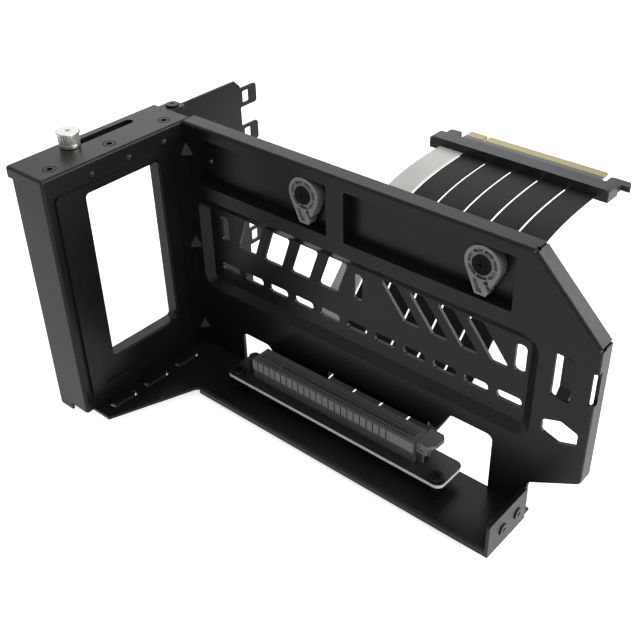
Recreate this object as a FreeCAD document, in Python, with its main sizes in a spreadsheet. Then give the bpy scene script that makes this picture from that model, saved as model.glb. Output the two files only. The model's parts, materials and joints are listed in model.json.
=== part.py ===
import FreeCAD, Part
import math
import os
import re
import Sketcher

# Vertical graphics card mount: a drawn main plate, a window frame, a rear slot bracket and a riser
# tray, with the riser board, its card slot, six flat ribbon cables and the edge connector.
# Working frame of the drawing: x along the main plate from the frame's outer face, y away from the
# card side with the main plate's front at 0, z up with the top flange at 0. Every body carries a
# placement that moves this frame to the middle of the footprint, at the bottom.

doc = FreeCAD.newDocument("vertical_card_mount")
sheet = doc.addObject("Spreadsheet::Sheet", "sizes")
aliases = []
WORD = re.compile(r"[a-z][a-z0-9_]*")


def size(alias, number, meaning):
    row = len(aliases) + 1
    sheet.set("A%d" % row, meaning)
    sheet.set("B%d" % row, str(number))
    sheet.setAlias("B%d" % row, alias)
    aliases.append(alias)


# Sheet metal
size("gauge", 1.5, "thickness of the main plate, frame and tray")
size("bracket_gauge", 1.2, "thickness of the slot bracket")
size("bend_radius", 1.3, "outer radius of a bend")
size("running_gap", 0.35, "air between pieces that move past each other")
size("slot_pitch", 20.32, "pitch of expansion slots")

# Main plate
size("plate_right", 212.4, "right edge of the main plate")
size("top_flange_end", 182, "where the top flange meets the slanted one")
size("slant_drop", 30, "fall of the slanted flange")
size("flange_depth", 8, "depth of the rear flanges")
size("right_edge_drop", 94.4, "bottom of the right flange")
size("foot_drop", 106.6, "where the slanted lower edge ends")
size("floor_drop", 121.5, "top of the tray floor, where the plates stand")
size("seam", 0.24, "seam between two flanges")
size("relief_radius", 0.8, "round relief where two bends meet")
size("bend_slot_top", 41, "top of the slot in the right bend")
size("bend_slot_bottom", 56, "bottom of the slot in the right bend")
size("bend_slot_reach", 2.2, "width of that slot on the plate")

# Channels drawn into the main plate
size("channel_depth", 5.5, "depth of the two drawn channels")
size("channel_top", 5.6, "top of the channels")
size("channel_bottom", 29.3, "bottom of the channels")
size("left_channel_start", 7.9, "left end of the left channel")
size("left_channel_end", 84.9, "right end of the left channel")
size("right_channel_start", 94.2, "left end of the right channel")
size("right_channel_end", 175, "right end of the right channel")
size("guide_hole_x", 11.4, "small hole at the left end of the left channel")
size("guide_hole_drop", 18.6, "height of that hole")
size("guide_hole_radius", 1.1, "radius of that hole")
size("channel_corner", 0.9, "corner radius of the channels")
size("channel_draft", 2, "draft angle of the channel walls, degrees")

# Recessed panel
size("panel_left", 5.7, "left edge of the recessed panel")
size("panel_right", 188.2, "right edge of the recessed panel")
size("panel_top", 36.2, "top edge of the recessed panel")
size("panel_bottom", 85, "bottom edge of the recessed panel")
size("panel_depth", 3, "depth of the recessed panel")
size("panel_slope", 4.5, "width of the sloping border")
size("panel_corner", 7, "corner radius of the recessed panel")

# Openings in the panel
size("bar_top", 41.2, "top of the slanted bars")
size("bar_bottom", 57.8, "bottom of the slanted bars")
size("left_bar_width", 11, "width of a bar in the left group")
size("left_bar_lean", 6, "how far those bars lean to the right")
size("left_bar_pitch", 16.5, "pitch of those bars")
size("right_bar_width", 8.4, "width of a bar in the right group")
size("right_bar_lean", 13.5, "how far those bars lean to the left")
size("right_bar_pitch", 14.2, "pitch of those bars")
size("bar_corner", 1.2, "corner radius of a bar")
size("left_bars_start", 27.5, "left end of the left group of bars")
size("left_bar_count", 4, "bars in the left group")
size("right_bars_start", 111, "left end of the right group of bars")
size("right_bar_count", 4, "bars in the right group")
size("short_slot_width", 5, "width of the short upright slots")
size("short_slot_top", 44, "top of the short upright slots")
size("short_slot_bottom", 57, "bottom of the short upright slots")
size("short_slot_left", 17, "left short slot")
size("short_slot_middle", 97, "middle short slot")
size("short_slot_right", 177, "right short slot")
size("vent_start", 15.6, "left end of the row of vents")
size("vent_pitch", 15.5, "pitch of the vents")
size("vent_length", 11.6, "length of a vent")
size("vent_top", 69.6, "top of the row of vents")
size("vent_height", 4.2, "height of a vent")
size("vent_corner", 2, "end radius of a vent")
size("vent_count", 11, "number of vents")

# Openings beside the panel
size("clip_slot_left", 194.9, "left edge of the clip slot")
size("clip_slot_width", 8.1, "width of the clip slot")
size("clip_slot_top", 38.8, "top of the clip slot")
size("clip_slot_height", 19.9, "height of the clip slot")
size("clip_bridge_left", 196.7, "left edge of the bridge behind the clip slot")
size("clip_bridge_right", 202, "right edge of that bridge")
size("clip_bridge_set_back", 1.8, "air between the bridge and the plate's back")
size("clip_bridge_rise", 3.2, "height of the bridge's sloping feet")
size("leaf_left", 193.1, "left end of the leaf hole")
size("leaf_right", 208.4, "right end of the leaf hole")
size("leaf_top", 68.6, "top of the leaf hole")
size("leaf_bottom", 79.6, "bottom of the leaf hole")
size("leaf_round", 1.5, "corner radius of the leaf hole")
size("leaf_shoulder", 2.6, "fall of its long edges next to those ends")

# Cut-out at the foot of the main plate
size("foot_left", 29.4, "left edge of the cut-out")
size("foot_left_top", 104, "top of its left part")
size("foot_left_end", 46.4, "right end of its left part")
size("foot_hidden_top", 108, "edge behind the card slot")
size("foot_hidden_end", 83.3, "right end of that edge")
size("lip_start", 84, "left end of the hem that hangs behind the card slot")
size("lip_end", 138.2, "right end of that hem")
size("lip_top", 101.4, "edge that carries the hem")
size("lip_height", 6.4, "height of the hem")
size("lip_set_back", 2.4, "air between the hem and the plate's back")
size("foot_slant_start", 144.5, "foot of the slanted side")
size("foot_slant_end", 151.8, "head of the slanted side")
size("foot_right_top", 91.8, "top of its right part")
size("foot_right", 172.6, "right edge of the cut-out")
size("foot_corner", 3, "corner radius of the cut-out")
size("tray_tab_width", 26, "width of the tab behind the tray's end flange")
size("tray_tab_height", 11, "height of that tab")

# Window flange and window
size("window_flange_top", 9.3, "top of the main plate's window flange")
size("window_flange_reach", 72.5, "reach of the window flange")
size("window_flange_bottom", 114.4, "bottom of the window flange")
size("window_outer", 57, "outer side of the window")
size("window_inner", 16.5, "inner side of the window")
size("window_top", 13.7, "top of the window")
size("window_bottom", 99, "bottom of the window")
size("window_corner", 2, "corner radius of the window")
size("window_rim_depth", 4.5, "depth of the rim folded in round the window")
size("window_gap", 0.4, "how far the flange's opening stands back from the rim")
size("coin_depth", 0.7, "depth of the pressed field on the window flange")
size("coin_outer", 65, "outer side of the pressed field")
size("coin_inner", 8, "inner side of the pressed field")
size("coin_bottom", 110, "bottom of the pressed field")
size("coin_top", 12, "top of the pressed field")
size("gusset_leg", 3.6, "leg of a stamped gusset at its foot")
size("gusset_tip", 0.4, "leg of a gusset at its top")
size("gusset_lip", 1.2, "upright face below a gusset's slope")
size("gusset_height", 3.6, "height of a gusset's slope")
size("gusset_first", 10.5, "top of the first gusset")
size("gusset_pitch", 48.5, "pitch of the gussets")

# Window frame
size("frame_width", 24, "width of the frame's top flange")
size("frame_reach", 77, "reach of the frame in front of the plate")
size("frame_rear", 5, "how far the frame runs behind the plate's front")
size("frame_side_width", 14, "width of the frame's side flange")
size("frame_lip_width", 4, "width of the front outer lip")
size("frame_lip_height", 5, "height of the front outer lip")
size("rear_tab_left", 21, "left edge of the rear tab")
size("rear_tab_right", 12, "right edge of the rear tab")
size("rear_tab_end", 14, "end of the rear tab")
size("rear_tab_corner", 2, "corner radius of the rear tab")
size("travel_slot_x", 18.45, "centre line of the travel slot")
size("travel_slot_width", 4.6, "width of the travel slot")
size("travel_slot_front", 52.5, "front end of the travel slot")
size("travel_slot_back", 13.2, "rear end of the travel slot")
size("insert_x", 7, "centre line of the threaded inserts")
size("insert_first", 67.3, "first threaded insert")
size("insert_pitch", 31.5, "pitch of the threaded inserts")
size("insert_radius", 2.7, "outer radius of a threaded insert")
size("insert_bore", 1.4, "bore radius of a threaded insert")
size("insert_height", 4, "height of a threaded insert")
size("stud_first", 51.9, "first locating dimple on the face")
size("stud_drop", 6.4, "height of the locating dimples below the top")
size("stud_radius", 1.8, "radius of a locating dimple")
size("stud_height", 1, "height of a locating dimple")

# Slot bracket
size("bracket_drop", 128, "bottom of the slot bracket")
size("bracket_top", 4.5, "top edge of the slot bracket")
size("hook_root", 60, "root of the hooks")
size("hook_reach", 71.5, "reach of the hooks")
size("hook_first", 9.4, "top of the first hook")
size("hook_chamfer", 3.5, "corner cut off the plate above the first hook")
size("hook_height", 10, "height of a hook")
size("hook_count", 6, "number of hooks")
size("hook_window_width", 5, "width of the slot in a hook")
size("hook_window_height", 6.4, "height of the slot in a hook")
size("hook_corner", 1.5, "corner radius of a hook")
size("bracket_window_outer", 64, "outer side of the bracket's window")
size("bracket_window_inner", 8, "inner side of the bracket's window, behind the plate")
size("bracket_window_top", 12, "top of the bracket's window")
size("bracket_window_bottom", 120, "bottom of the bracket's window")
size("bracket_flange_width", 8.9, "width of the bracket's side flange")
size("bracket_shelf_width", 13, "width of the bracket's top shelf")
size("bracket_shelf_front", 60, "front end of the top shelf")
size("bracket_shelf_back", 12, "rear end of the top shelf")
size("bracket_screw_seat", 0.7, "depth of the seat that keeps the bracket's screw flush")
size("bracket_screw_y", 68, "place of the bracket's screw")
size("bracket_screw_head", 3.2, "head radius of the bracket's screw")
size("bracket_screw_drop", 123.5, "height of the bracket's screw")

# Thumbscrew
size("thumb_x", 18.45, "thumbscrew from the frame's outer face")
size("thumb_y", 47.9, "place of the thumbscrew at rest")
size("thumb_radius", 4.7, "radius of the knurled head")
size("thumb_cap_radius", 5.2, "radius of the flat cap")
size("thumb_cap_height", 1, "height of the flat cap")
size("thumb_collar_radius", 4.5, "radius of the collar")
size("thumb_neck_radius", 3.9, "radius of the neck")
size("thumb_shank_radius", 1.4, "radius of the shank")
size("thumb_collar_height", 1, "height of the collar")
size("thumb_neck_height", 0.7, "height of the neck")
size("thumb_head_height", 5.2, "height of the knurled head")
size("thumb_shank_length", 7.5, "length of the shank below the flange")
size("thumb_notch_x", 3.8, "rim notches of the cap, along x")
size("thumb_notch_y", 3.4, "rim notches of the cap, along y")
size("thumb_notch_radius", 0.5, "radius of a rim notch")
size("recess_arm", 1.3, "half length of a cross recess")
size("recess_slot", 0.3, "half width of a cross recess")
size("recess_depth", 0.8, "depth of a cross recess")
size("knurl_count", 28, "number of knurls")
size("knurl_radius", 0.35, "radius of a knurl groove")
size("clamp_length", 14, "length of the clamp block")
size("clamp_width", 7, "width of the clamp block")
size("clamp_height", 3.2, "height of the clamp block")

# Riser tray
size("tray_front", 30, "front edge of the tray")
size("tray_lip_drop", 125, "bottom of the front lip")
size("tray_right", 192.1, "outer face of the tray's end flange")
size("tray_end_top", 107.75, "top of the end flange")
size("tray_shoulder", 10, "start of the slanted front edge")
size("tray_lip_start", 27, "left end of the front lip")
size("tongue_slot_left", 1.9, "left edge of the tongue slots")
size("tongue_slot_width", 5.4, "width of a tongue slot")
size("tongue_width", 4.3, "width of the raised strip in a tongue slot")
size("tongue_end", 1.1, "how much shorter that strip is at each end")
size("tongue_rise", 1, "height of that strip above the floor")
size("tongue_slot_length", 14, "length of a tongue slot")
size("tongue_slot_first", 65.8, "front end of the first tongue slot")

# Cams in the channels
size("cam_left_x", 72.2, "pivot of the left cam")
size("cam_right_x", 160.8, "pivot of the right cam")
size("cam_drop", 14.2, "height of the cam pivots")
size("cam_head_radius", 7.9, "head radius of a cam")
size("cam_length", 13.5, "from pivot to tip")
size("cam_tip_width", 4.9, "width of the flat tip")
size("cam_thickness", 4.8, "thickness of a cam")
size("cam_pocket_depth", 1.2, "depth of the pockets in a cam's face")
size("cam_rib", 1, "width of the ribs and walls between those pockets")
size("cam_rib_count", 7, "ribs across the ring of pockets")
size("cam_ring_outer", 6.5, "outer radius of the ring of pockets")
size("cam_ring_inner", 5.1, "inner radius of the ring of pockets")
size("cam_pocket_top", 7, "top of the long pocket below the pivot")
size("cam_pocket_side", 3.9, "left side of the long pocket at its top")
size("cam_pocket_width", 1.9, "width of the long pocket at its top")
size("cam_pocket_lean", 2.6, "how far the long pocket's left side leans in")
size("cam_notch_x", 2.1, "eye of the notch beside the tip")
size("cam_notch_drop", 7.6, "height of that eye")
size("cam_notch_radius", 1.1, "radius of that eye")
size("cam_notch_width", 0.9, "width of the notch")
size("cam_bore_radius", 2.4, "bore radius of a cam")
size("cam_bolt_radius", 2, "shank radius of a cam bolt")
size("cam_bolt_head_radius", 4.2, "head radius of a cam bolt")
size("cam_bolt_head_height", 0.8, "head height of a cam bolt")
size("cam_nut_radius", 3.4, "radius of the nut behind the plate")
size("cam_nut_height", 2.4, "height of that nut")

# Riser board and card slot
size("board_top", 113, "top of the riser board")
size("board_thickness", 1.6, "thickness of the riser board")
size("board_left", 36.5, "left end of the riser board")
size("board_right", 161.5, "right end of the riser board")
size("board_front", 20, "front edge of the riser board")
size("board_back", 1.5, "rear edge of the riser board's ends")
size("board_tail", 2.6, "how far the ribbon edge runs behind the plate's front")
size("board_tail_left", 44.5, "left end of the ribbon edge")
size("board_tail_right", 142, "right end of the ribbon edge")
size("board_corner", 3.6, "corner radius of the riser board")
size("spacer_left_x", 42, "left spacer")
size("spacer_right_x", 157.4, "right spacer")
size("spacer_y", 16, "spacers from the plate's front")
size("spacer_radius", 2.9, "radius of a spacer")
size("spacer_base_radius", 4.2, "radius of a spacer's base")
size("spacer_base_height", 1.4, "height of a spacer's base")
size("board_screw_head", 3.3, "head radius of a board screw")
size("board_screw_height", 1.7, "head height of a board screw")
size("post_x", 44.3, "round black post at the board's left end")
size("post_y", 7.6, "that post from the plate's front")
size("post_radius", 2.9, "radius of that post")
size("post_height", 6, "height of that post")
size("socket_left", 50.2, "left end of the card slot")
size("socket_length", 93.8, "length of the card slot housing")
size("socket_front", 15, "front of the card slot")
size("socket_width", 11.2, "width of the card slot")
size("socket_height", 11.2, "height of the card slot")
size("card_top_chamfer", 0.5, "chamfer along the top of the card slot")
size("card_gap_y", 10.4, "middle of the gap for the card edge")
size("top_groove_front", 13.1, "front groove along the top")
size("top_groove_back", 8.4, "rear groove along the top")
size("top_groove_size", 0.45, "width and depth of those grooves")
size("card_gap_width", 1.9, "width of the gap for the card edge")
size("card_gap_depth", 8, "depth of the gap for the card edge")
size("card_gap_start", 2.2, "wall at the left end of the card gap")
size("card_key_start", 13.6, "start of the key that splits the gap")
size("card_key_width", 1.9, "width of that key")
size("cell_count", 22, "number of grooves between the moulded cells on the front")
size("cell_pitch", 3.62, "pitch of the moulded cells")
size("cell_gap", 0.6, "width of a groove between cells")
size("cell_height", 5.2, "height of the moulded cells")
size("cell_depth", 0.7, "depth of the grooves between cells")
size("base_height", 5.6, "height of the plain band below the cells")
size("base_depth", 0.5, "how far that band is set back")
size("contact_count", 36, "contact blades in each row")
size("contact_pitch", 2, "pitch of the contact blades")
size("contact_width", 0.7, "width of a contact blade")
size("contact_depth", 0.35, "how far a contact blade stands from the wall")
size("contact_height", 7.3, "height of a contact blade")
size("latch_pin_x", 145.6, "pivot of the card latch")
size("latch_pin_drop", 110.2, "height of the latch pivot")
size("latch_pin_radius", 0.9, "radius of the latch pivot")
size("latch_stem", 1.1, "half thickness of the latch's stem")
size("latch_stem_half", 1.8, "half of the room between the cheeks")
size("latch_foot_gap", 1.8, "air under the latch's foot")
size("latch_left", 144.35, "left side of the latch's block")
size("latch_right", 149.7, "right side of the latch's block")
size("latch_front", 12.9, "front of the latch's block")
size("latch_back", 4.2, "rear of the latch's block")
size("latch_low", 107.2, "bottom of the latch's block")
size("latch_high", 101.8, "top of the latch")
size("latch_pocket_wall", 1, "wall round the pocket in the latch's front")
size("latch_pocket_depth", 0.6, "depth of that pocket")
size("latch_plate", 2.1, "thickness of the latch's thumb plate")
size("latch_nose", 152.6, "right end of the thumb plate")
size("latch_shoulder", 150.8, "right end of the thumb plate's rear side")
size("latch_plate_back", 2.2, "rear of the thumb plate")
size("cheek_length", 3.2, "length of the cheeks that hold the latch")
size("cheek_thickness", 1.2, "thickness of those cheeks")
size("cheek_height", 5.1, "height of those cheeks")

# Ribbons and edge connector
size("ribbon_left", 47.2, "left edge of the first ribbon")
size("ribbon_width", 14.4, "width of a ribbon")
size("ribbon_pitch", 15.6, "pitch of the ribbons")
size("ribbon_thickness", 0.9, "thickness of a ribbon")
size("plug_left", 40, "left end of the edge connector housing")
size("plug_right", 146, "right end of the edge connector housing")
size("plug_start", 139, "where the ribbons enter the housing")
size("plug_end", 150, "front of the housing")
size("plug_top", 45.3, "top of the housing")
size("plug_bottom", 52, "bottom of the housing")
size("plug_step", 1.2, "step along the top of the housing")
size("plug_step_width", 4, "width of the raised rear part of the housing")
size("edge_left", 53.5, "left end of the contact edge")
size("edge_right", 135.3, "right end of the contact edge")
size("edge_end", 160, "front of the contact edge")
size("edge_drop", 47, "top of the contact edge board")
size("edge_inset", 3, "how deep the edge board sits in the housing")
size("edge_key_x", 64.6, "key notch in the contact edge")
size("edge_key_width", 1.9, "width of the key notch")
size("edge_key_depth", 7.4, "depth of the key notch")
size("ear_left_start", 43.5, "left lug of the housing")
size("ear_left_end", 51, "right side of the left lug")
size("ear_left_reach", 5.2, "reach of the left lug")
size("lock_start", 138, "left side of the lock hook")
size("lock_end", 146, "right side of the lock hook's arm")
size("lock_reach", 8, "reach of the lock hook")
size("lock_nose", 5, "sideways nose of the lock hook")
size("lock_thickness", 3, "thickness of the lock hook")

# End screws of the tray
size("end_screw_front", 19.4, "front end screw")
size("end_screw_back", 8.2, "rear end screw")
size("end_screw_drop", 117, "height of the end screws")
size("end_screw_head", 2.7, "head radius of an end screw")
size("tab_screw_head", 3.1, "head radius of the rear tab's screw")
size("tab_screw_height", 1, "head height of the rear tab's screw")
size("edge_break", 0.3, "rounding of the small screw heads")
size("end_screw_shank", 1.5, "shank radius of the small screws")
size("end_screw_height", 0.6, "head height of an end screw")
doc.recompute()

SHIFT_X = "(frame_width - plate_right) / 2"
SHIFT_Y = "(frame_reach - hook_reach) / 2"
SHIFT_Z = "bracket_drop"
NORMAL_SIGN = {"XY_Plane": 1, "XZ_Plane": -1, "YZ_Plane": 1}
ALONG_X = FreeCAD.Rotation(FreeCAD.Vector(0, 1, 0), 90)
AGAINST_X = FreeCAD.Rotation(FreeCAD.Vector(0, 1, 0), -90)
AGAINST_Y = FreeCAD.Rotation(FreeCAD.Vector(1, 0, 0), 90)


def value(expression):
    return float(sheet.evalExpression(expression))


def linked(expression):
    def prefix(word):
        return "sizes." + word.group() if word.group() in aliases else word.group()
    return WORD.sub(prefix, expression)


def bind(thing, name, expression):
    thing.setExpression(name, linked(expression))


def origin_part(body, role):
    return [part for part in body.Origin.OriginFeatures if part.Role == role][0]


def new_body(label, x="0", y="0", z="0", rotation=None):
    body = doc.addObject("PartDesign::Body", label)
    body.Label = label
    body.AllowCompound = True
    if rotation:
        body.Placement = FreeCAD.Placement(FreeCAD.Vector(), rotation)
    bind(body, "Placement.Base.x", "%s + (%s)" % (SHIFT_X, x))
    bind(body, "Placement.Base.y", "%s + (%s)" % (SHIFT_Y, y))
    bind(body, "Placement.Base.z", "%s + (%s)" % (SHIFT_Z, z))
    return body


def new_sketch(body, name, plane, height):
    sketch = body.newObject("Sketcher::SketchObject", name)
    sketch.AttachmentSupport = (origin_part(body, plane), [""])
    sketch.MapMode = "FlatFace"
    bind(sketch, "AttachmentOffset.Base.z", "%d * (%s)" % (NORMAL_SIGN[plane], height))
    return sketch


def place_point(sketch, rules, geometry, point, x, y):
    for kind, expression in (("DistanceX", x), ("DistanceY", y)):
        rule = Sketcher.Constraint(kind, -1, 1, geometry, point, value(expression))
        rules.append((rule, expression))


def add_rules(sketch, rules):
    first = sketch.ConstraintCount
    sketch.addConstraint([rule for rule, expression in rules])
    for number, (rule, expression) in enumerate(rules):
        if expression:
            name = "size%d" % (first + number)
            sketch.renameConstraint(first + number, name)
            bind(sketch, "Constraints." + name, expression)


# A closed outline through corners given as (x, y) or (x, y, corner radius)
def draw_outline(sketch, corners):
    points = [FreeCAD.Vector(value(corner[0]), value(corner[1]), 0) for corner in corners]
    radii = [value(corner[2]) if len(corner) > 2 else 0.0 for corner in corners]
    count = len(points)
    arrive, leave, centres, left_turn = [], [], [], []
    for i in range(count):
        back = (points[i - 1] - points[i]).normalize()
        on = (points[(i + 1) % count] - points[i]).normalize()
        half = back.getAngle(on) / 2
        reach = radii[i] / math.tan(half)
        arrive.append(points[i] + back * reach)
        leave.append(points[i] + on * reach)
        centres.append(points[i] + (back + on).normalize() * (radii[i] / math.sin(half)))
        left_turn.append(back.cross(on).z < 0)
    lines = [sketch.addGeometry(Part.LineSegment(leave[i], arrive[(i + 1) % count])) for i in range(count)]
    rules = []
    for i in range(count):
        before, after = lines[i - 1], lines[i]
        if not radii[i]:
            rules.append((Sketcher.Constraint("Coincident", before, 2, after, 1), None))
            place_point(sketch, rules, after, 1, corners[i][0], corners[i][1])
            continue
        first, last = (arrive[i], leave[i]) if left_turn[i] else (leave[i], arrive[i])
        from_angle = math.atan2(first.y - centres[i].y, first.x - centres[i].x)
        to_angle = math.atan2(last.y - centres[i].y, last.x - centres[i].x)
        if to_angle < from_angle:
            to_angle += 2 * math.pi
        circle = Part.Circle(centres[i], FreeCAD.Vector(0, 0, 1), radii[i])
        arc = sketch.addGeometry(Part.ArcOfCircle(circle, from_angle, to_angle))
        begin, end = (1, 2) if left_turn[i] else (2, 1)
        rules.append((Sketcher.Constraint("Tangent", before, 2, arc, begin), None))
        rules.append((Sketcher.Constraint("Tangent", arc, end, after, 1), None))
        rules.append((Sketcher.Constraint("Radius", arc, radii[i]), corners[i][2]))
        corner = sketch.addGeometry(Part.Point(points[i]), True)
        rules.append((Sketcher.Constraint("PointOnObject", corner, 1, before), None))
        rules.append((Sketcher.Constraint("PointOnObject", corner, 1, after), None))
        place_point(sketch, rules, corner, 1, corners[i][0], corners[i][1])
    add_rules(sketch, rules)


def draw_circle(sketch, x, y, radius):
    centre = FreeCAD.Vector(value(x), value(y), 0)
    circle = sketch.addGeometry(Part.Circle(centre, FreeCAD.Vector(0, 0, 1), value(radius)))
    rules = [(Sketcher.Constraint("Radius", circle, value(radius)), radius)]
    place_point(sketch, rules, circle, 3, x, y)
    add_rules(sketch, rules)


def box_outline(left, right, low, high, radius=None):
    corners = [(left, low), (right, low), (right, high), (left, high)]
    if radius:
        corners = [corner + (radius,) for corner in corners]
    return corners


def checked(body, feature, grows, before):
    doc.recompute()
    if feature.Shape.isNull() or not feature.isValid():
        raise RuntimeError("%s of %s has no shape" % (feature.Name, body.Label))
    change = feature.Shape.Volume - before
    if (change > 0) != grows:
        raise RuntimeError("%s of %s changed the volume by %.3f" % (feature.Name, body.Label, change))
    return feature


def tip_volume(body):
    return body.Tip.Shape.Volume if body.Tip and hasattr(body.Tip, "Shape") else 0.0


# A pad or pocket between two heights on one of the body's planes
def layer(body, kind, name, plane, start, end, shapes, taper=None):
    before = tip_volume(body)
    sketch = new_sketch(body, name + "_sketch", plane, start)
    for shape in shapes:
        if shape[0] == "circle":
            draw_circle(sketch, *shape[1:])
        else:
            draw_outline(sketch, shape)
    feature = body.newObject("PartDesign::" + kind, name)
    feature.Profile = sketch
    bind(feature, "Length", "abs((%s) - (%s))" % (end, start))
    along_normal = (value(end) > value(start)) == (NORMAL_SIGN[plane] > 0)
    feature.Reversed = along_normal if kind == "Pocket" else not along_normal
    if taper:
        bind(feature, "TaperAngle", taper)
    return checked(body, feature, kind == "Pad", before)


def pad(body, name, plane, start, end, shapes, taper=None):
    return layer(body, "Pad", name, plane, start, end, shapes, taper)


def pocket(body, name, plane, start, end, shapes, taper=None):
    return layer(body, "Pocket", name, plane, start, end, shapes, taper)


# A turned piece: its half section in (radius, height), turned about the body's upright axis
def turn(body, name, corners):
    before = tip_volume(body)
    sketch = new_sketch(body, name + "_sketch", "XZ_Plane", "0")
    draw_outline(sketch, corners)
    feature = body.newObject("PartDesign::Revolution", name)
    feature.Profile = sketch
    feature.ReferenceAxis = (sketch, ["V_Axis"])
    feature.Angle = 360
    return checked(body, feature, True, before)


def repeat(body, name, features, axis, pitch, count, backwards=False):
    before = tip_volume(body)
    features = features if isinstance(features, list) else [features]
    grows = features[0].TypeId != "PartDesign::Pocket"
    pattern = body.newObject("PartDesign::LinearPattern", name)
    pattern.Originals = features
    pattern.Direction = (origin_part(body, axis), [""])
    pattern.Reversed = backwards
    bind(pattern, "Length", "(%s) * ((%s) - 1)" % (pitch, count))
    bind(pattern, "Occurrences", count)
    body.Tip = pattern
    return checked(body, pattern, grows, before)


def polar(body, name, feature, axis, count):
    before = tip_volume(body)
    pattern = body.newObject("PartDesign::PolarPattern", name)
    pattern.Originals = [feature]
    pattern.Axis = (origin_part(body, axis), [""])
    pattern.Angle = 360
    bind(pattern, "Occurrences", count)
    body.Tip = pattern
    return checked(body, pattern, feature.TypeId != "PartDesign::Pocket", before)


# Straight edges that lie on a line through a point, along a direction
def edges_on(body, point, direction):
    through = FreeCAD.Vector(*[value(number) for number in point])
    along = FreeCAD.Vector(*direction)
    names = []
    for number, edge in enumerate(body.Tip.Shape.Edges):
        if not isinstance(edge.Curve, Part.Line) or edge.Curve.Direction.cross(along).Length > 1e-4:
            continue
        offset = edge.Vertexes[0].Point - through
        if offset.cross(along).Length < 1e-3:
            names.append("Edge%d" % (number + 1))
    return names


def dress(body, kind, name, amount, lines):
    names = []
    for point, direction in lines:
        found = edges_on(body, point, direction)
        if not found:
            raise RuntimeError("%s of %s finds no edge at %s" % (name, body.Label, point))
        names += found
    base = body.Tip
    feature = body.newObject("PartDesign::" + kind, name)
    feature.Base = (base, names)
    bind(feature, "Radius" if kind == "Fillet" else "Size", amount)
    doc.recompute()
    if feature.Shape.isNull() or not feature.isValid():
        raise RuntimeError("%s of %s has no shape" % (name, body.Label))
    return feature


def loft(body, name, plane, sections):
    before = tip_volume(body)
    sketches = []
    for number, (height, corners) in enumerate(sections):
        sketches.append(new_sketch(body, "%s_sketch_%d" % (name, number + 1), plane, height))
        draw_outline(sketches[-1], corners)
    feature = body.newObject("PartDesign::AdditiveLoft", name)
    feature.Profile = sketches[0]
    feature.Sections = sketches[1:]
    feature.Ruled = True
    return checked(body, feature, True, before)


# Triangle in the corner between the window flange and the main plate, a little inside both sheets
def gusset_outline(leg):
    return [("gauge / 2", "gauge / 2"), ("gauge / 2", "-%s - gauge / 2" % leg),
            ("gauge * 3 / 2 + %s" % leg, "gauge / 2")]


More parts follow.
